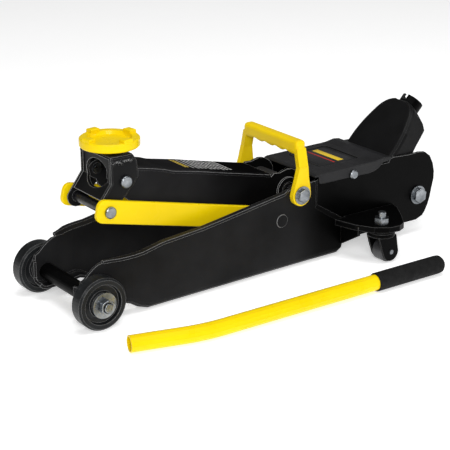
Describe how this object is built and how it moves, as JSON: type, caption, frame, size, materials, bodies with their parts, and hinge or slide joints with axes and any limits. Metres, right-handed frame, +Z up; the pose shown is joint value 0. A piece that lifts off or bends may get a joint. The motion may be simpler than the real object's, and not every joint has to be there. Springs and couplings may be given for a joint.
{
  "type": "car jack",
  "caption": "Low trolley jack with folded side plates, lifting arm, yellow saddle and links, steel front wheels, rear casters, handle yoke, carry handle and a separate bent pump bar.",
  "frame": {"origin": "on the floor, under the middle of the bounding box of the jack and the bar lying beside it", "axes": "+X along the jack's length, towards its rear (handle) end; +Z up; +Y across, away from the side where the loose bar lies"},
  "size_m": [0.507, 0.2652, 0.178],
  "materials": {
    "black_paint": "gloss black powder coat",
    "zinc": "zinc plated",
    "bright_steel": "ground and polished",
    "cast_iron": "as cast, oiled",
    "yellow_paint": "gloss yellow powder coat",
    "wheel_steel": "semi-gloss dark coat on steel",
    "grey_plastic": "moulded nylon",
    "yellow_plastic": "moulded, satin gloss",
    "cover_plastic": "fine moulded grain",
    "foam": "closed-cell foam"
  },
  "bodies": {
    "frame": {"side_plate_near": "black_paint", "side_plate_far": "black_paint", "caster_bracket_near": "black_paint", "caster_bracket_far": "black_paint", "front_axle_tube": "black_paint", "reservoir_tube": "black_paint", "front_axle": "zinc", "wheel_washer_near": "zinc", "wheel_washer_far": "zinc", "wheel_nut_near": "zinc", "wheel_nut_far": "zinc", "main_pivot_bolt_near": "zinc", "main_pivot_bolt_far": "zinc", "link_pin_near": "zinc", "link_pin_far": "zinc", "rear_pivot_rod": "zinc", "rear_pivot_nut_near": "zinc", "rear_pivot_nut_far": "zinc", "filler_plug": "zinc", "relief_valve_screw": "zinc", "cover_screw_near": "zinc", "cover_screw_far": "zinc", "caster_nut_near": "zinc", "caster_nut_far": "zinc", "caster_stud_near": "zinc", "caster_stud_far": "zinc", "main_pivot_shaft": "bright_steel", "power_unit_block": "cast_iron", "pump_cylinder": "cast_iron", "rear_cover": "cover_plastic"},
    "lift_arm_body": {"lift_arm": "black_paint", "lift_lug": "cast_iron"},
    "bracket_body": {"saddle_bracket": "black_paint", "bracket_bolt_near": "zinc", "bracket_bolt_far": "zinc", "link_cross_shaft": "zinc"},
    "saddle_body": {"saddle": "yellow_paint"},
    "links_body": {"link_near": "yellow_paint", "link_far": "yellow_paint"},
    "wheel_near_body": {"wheel_near": "wheel_steel"},
    "wheel_far_body": {"wheel_far": "wheel_steel"},
    "yoke_body": {"handle_yoke": "black_paint", "pump_roller": "bright_steel"},
    "sleeve_body": {"handle_sleeve": "black_paint"},
    "valve_body": {"release_valve": "bright_steel"},
    "plunger_body": {"pump_plunger": "bright_steel"},
    "ram_body": {"ram": "bright_steel", "crosshead": "cast_iron"},
    "carry_body": {"carry_handle": "yellow_plastic"},
    "fork_near_body": {"caster_fork_near": "black_paint", "caster_axle_near": "zinc"},
    "fork_far_body": {"caster_fork_far": "black_paint", "caster_axle_far": "zinc"},
    "roller_near_body": {"caster_wheel_near": "grey_plastic"},
    "roller_far_body": {"caster_wheel_far": "grey_plastic"},
    "bar_body": {"pump_bar": "yellow_paint", "bar_grip": "foam"}
  },
  "joints": [
    {"name": "arm_lift", "type": "hinge", "parent": "frame", "child": "lift_arm_body", "pos_m": [0.0362, 0.02895, 0.0852], "axis": [0, 1, 0], "range_deg": [-13.4, 48.4]},
    {"name": "bracket_level", "type": "hinge", "parent": "lift_arm_body", "child": "bracket_body", "pos_m": [-0.1734, 0.02895, 0.1354], "axis": [0, 1, 0], "range_deg": [-48.5, 13.5]},
    {"name": "saddle_turn", "type": "hinge", "parent": "bracket_body", "child": "saddle_body", "pos_m": [-0.172, 0.02895, 0.17], "axis": [0, 0, 1], "continuous": true},
    {"name": "link_swing", "type": "hinge", "parent": "frame", "child": "links_body", "pos_m": [0.0136, 0.02895, 0.0587], "axis": [0, 1, 0], "range_deg": [-13.5, 48.5]},
    {"name": "wheel_near_roll", "type": "hinge", "parent": "frame", "child": "wheel_near_body", "pos_m": [-0.226, -0.03185, 0.0275], "axis": [0, 1, 0], "continuous": true},
    {"name": "wheel_far_roll", "type": "hinge", "parent": "frame", "child": "wheel_far_body", "pos_m": [-0.226, 0.08975, 0.0275], "axis": [0, 1, 0], "continuous": true},
    {"name": "yoke_pump", "type": "hinge", "parent": "frame", "child": "yoke_body", "pos_m": [0.2166, 0.02895, 0.0473], "axis": [0, 1, 0], "range_deg": [0, 35]},
    {"name": "sleeve_twist", "type": "hinge", "parent": "yoke_body", "child": "sleeve_body", "pos_m": [0.18947, 0.02895, 0.08966], "axis": [0.6884, 0, 0.7254], "range_deg": [0, 180]},
    {"name": "valve_turn", "type": "hinge", "parent": "frame", "child": "valve_body", "pos_m": [0.18947, 0.02895, 0.08966], "axis": [0.6884, 0, 0.7254], "range_deg": [0, 180]},
    {"name": "plunger_slide", "type": "slide", "parent": "frame", "child": "plunger_body", "axis": [-1, 0, 0], "range_m": [0, 0.0124]},
    {"name": "ram_slide", "type": "slide", "parent": "frame", "child": "ram_body", "axis": [-1, 0, 0], "range_m": [-0.0076, 0.027]},
    {"name": "carry_swing", "type": "hinge", "parent": "frame", "child": "carry_body", "pos_m": [0.0362, 0.02895, 0.0852], "axis": [0, 1, 0], "range_deg": [0, 48]},
    {"name": "caster_near_swivel", "type": "hinge", "parent": "frame", "child": "fork_near_body", "pos_m": [0.123, -0.05755, 0.041], "axis": [0, 0, 1], "continuous": true},
    {"name": "caster_near_roll", "type": "hinge", "parent": "fork_near_body", "child": "roller_near_body", "pos_m": [0.129, -0.05755, 0.0125], "axis": [0, 1, 0], "continuous": true},
    {"name": "caster_far_swivel", "type": "hinge", "parent": "frame", "child": "fork_far_body", "pos_m": [0.123, 0.11545, 0.041], "axis": [0, 0, 1], "continuous": true},
    {"name": "caster_far_roll", "type": "hinge", "parent": "fork_far_body", "child": "roller_far_body", "pos_m": [0.129, 0.11545, 0.0125], "axis": [0, 1, 0], "continuous": true},
    {"name": "bar_lift", "type": "slide", "parent": "frame", "child": "bar_body", "axis": [0, 0, 1], "range_m": [0, 0.3]}
  ],
  "couplings": [
    {"joint": "bracket_level", "follows": "arm_lift", "ratio": -1},
    {"joint": "link_swing", "follows": "arm_lift", "ratio": 1},
    {"joint": "ram_slide", "follows": "arm_lift", "m_per_rad": 0.0317},
    {"joint": "plunger_slide", "follows": "yoke_pump", "m_per_rad": 0.02},
    {"joint": "valve_turn", "follows": "sleeve_twist", "ratio": 1}
  ]
}
